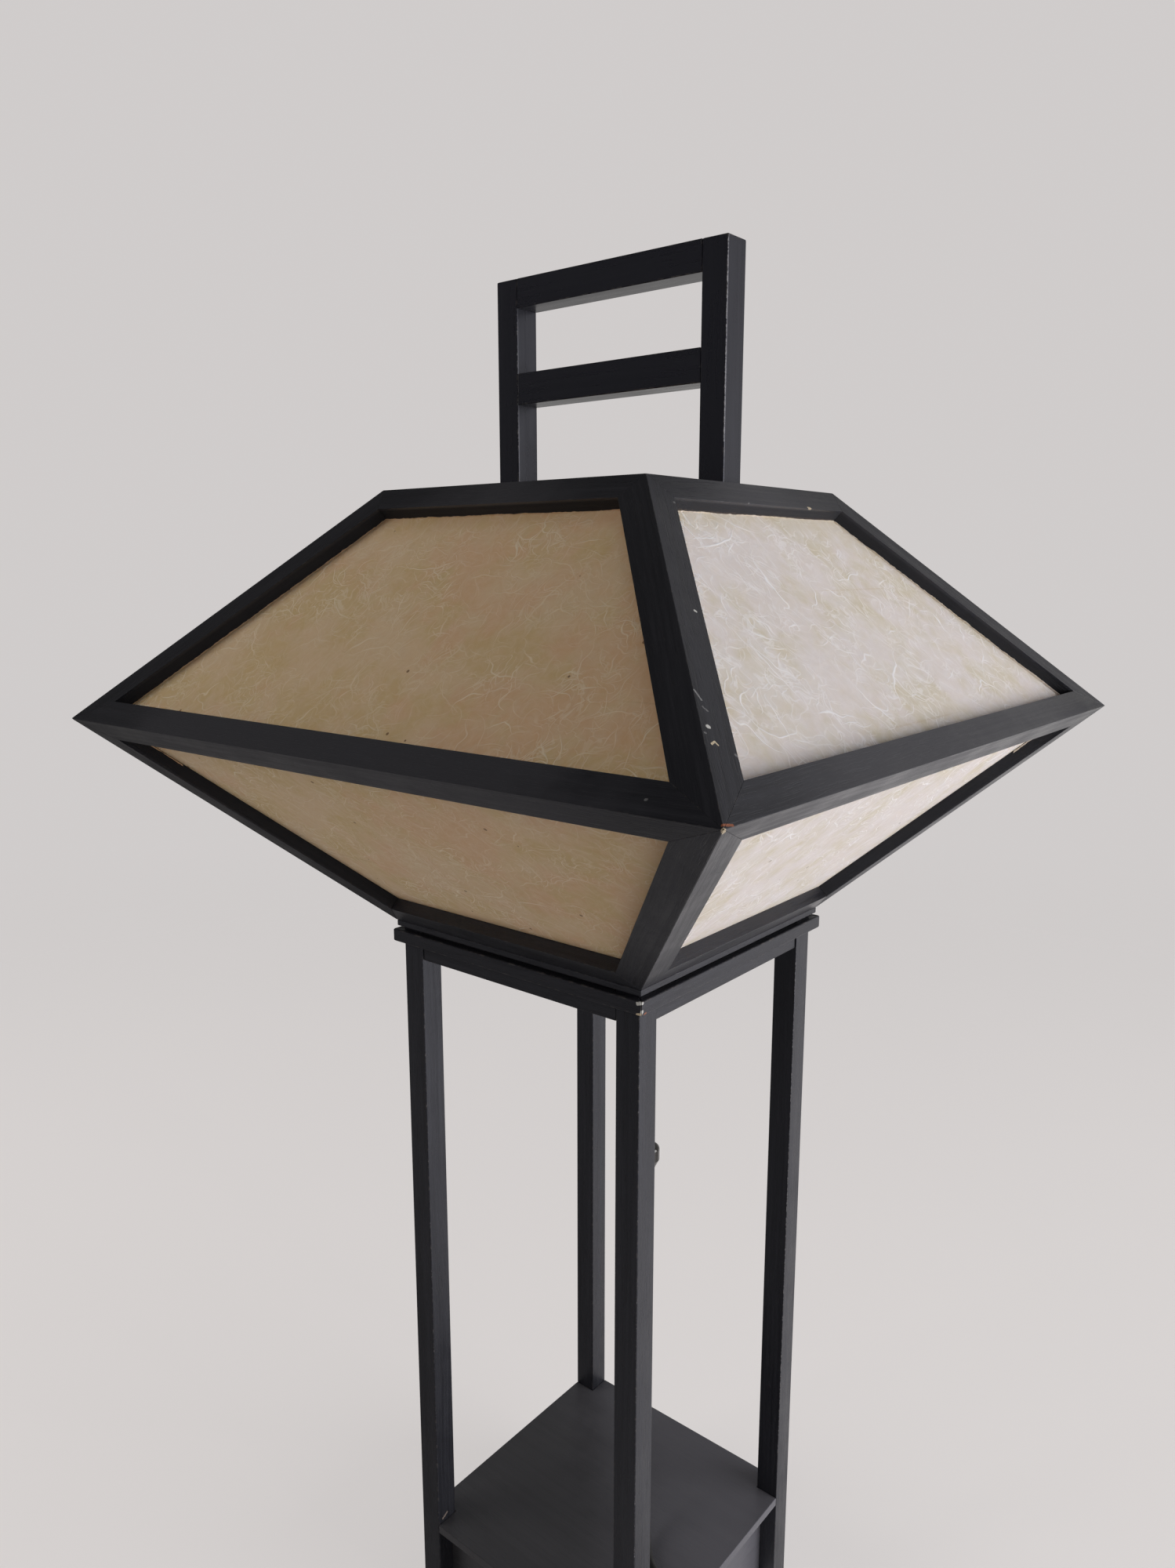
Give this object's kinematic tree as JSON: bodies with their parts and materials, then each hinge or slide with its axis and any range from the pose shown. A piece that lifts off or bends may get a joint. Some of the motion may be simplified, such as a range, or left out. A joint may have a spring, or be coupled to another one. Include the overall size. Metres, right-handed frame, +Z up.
{
  "type": "andon floor lamp",
  "caption": "Square double-sloped paper shade in a black wood frame with a ladder-shaped carrying handle, resting on an open four-post stand with a low shelf and a pull switch.",
  "frame": {"origin": "centre of the stand's footprint, on the floor", "axes": "+Z up, the front faces -Y, +X to the right; the handle's bars run along X"},
  "size_m": [0.455, 0.455, 0.91],
  "materials": {
    "black_wood": "black painted, satin",
    "washi": "handmade paper with long fibres",
    "black_phenolic": "moulded",
    "insulator": "laminate",
    "brass": "rolled",
    "screw_steel": "plated",
    "soft_black": "matt sheath",
    "plug_plastic": "moulded",
    "bulb_glass": "frosted",
    "string": "braided"
  },
  "bodies": {
    "stand": {"stand_post_front_right": "black_wood", "stand_post_back_right": "black_wood", "stand_post_back_left": "black_wood", "stand_post_front_left": "black_wood", "stand_rail_front": "black_wood", "stand_rail_right": "black_wood", "stand_rail_back": "black_wood", "stand_rail_left": "black_wood", "cap_mouldings": "black_wood", "shelf": "black_wood", "base_panel_front": "black_wood", "base_panel_right": "black_wood", "base_panel_back": "black_wood", "base_panel_left": "black_wood", "top_board": "black_wood", "lampholder_cup": "black_phenolic", "lampholder_insert": "insulator", "lampholder_shell": "brass", "lampholder_screws": "screw_steel", "cord_bush": "soft_black", "power_cord": "soft_black", "cord_coil": "soft_black", "plug": "plug_plastic"},
    "shade": {"upper_hip_front_right": "black_wood", "upper_hip_back_right": "black_wood", "upper_hip_back_left": "black_wood", "upper_hip_front_left": "black_wood", "lower_hip_front_right": "black_wood", "lower_hip_back_right": "black_wood", "lower_hip_back_left": "black_wood", "lower_hip_front_left": "black_wood", "top_rail_front": "black_wood", "top_rail_right": "black_wood", "top_rail_back": "black_wood", "top_rail_left": "black_wood", "waist_rails_front": "black_wood", "waist_rails_right": "black_wood", "waist_rails_back": "black_wood", "waist_rails_left": "black_wood", "bottom_rail_front": "black_wood", "bottom_rail_right": "black_wood", "bottom_rail_back": "black_wood", "bottom_rail_left": "black_wood", "shade_foot_frame": "black_wood", "handle_post_left": "black_wood", "handle_post_right": "black_wood", "handle_top_bar": "black_wood", "handle_middle_bar": "black_wood", "handle_cleats": "black_wood", "paper_upper_front": "washi", "paper_upper_right": "washi", "paper_upper_back": "washi", "paper_upper_left": "washi", "paper_lower_front": "washi", "paper_lower_right": "washi", "paper_lower_back": "washi", "paper_lower_left": "washi"},
    "bulb": {"bulb": "bulb_glass"},
    "pull": {"pull_string": "string", "pull_knob": "black_phenolic"}
  },
  "joints": [
    {"name": "shade_lift", "type": "slide", "parent": "stand", "child": "shade", "axis": [0, 0, 1], "range_m": [0, 0.17]},
    {"name": "bulb_unscrew", "type": "slide", "parent": "stand", "child": "bulb", "axis": [0, 0, 1], "range_m": [0, 0.03]},
    {"name": "pull_switch", "type": "slide", "parent": "stand", "child": "pull", "axis": [0, 0, -1], "range_m": [0, 0.008], "stiffness_N_per_m": 400, "springref_m": -0.01}
  ]
}
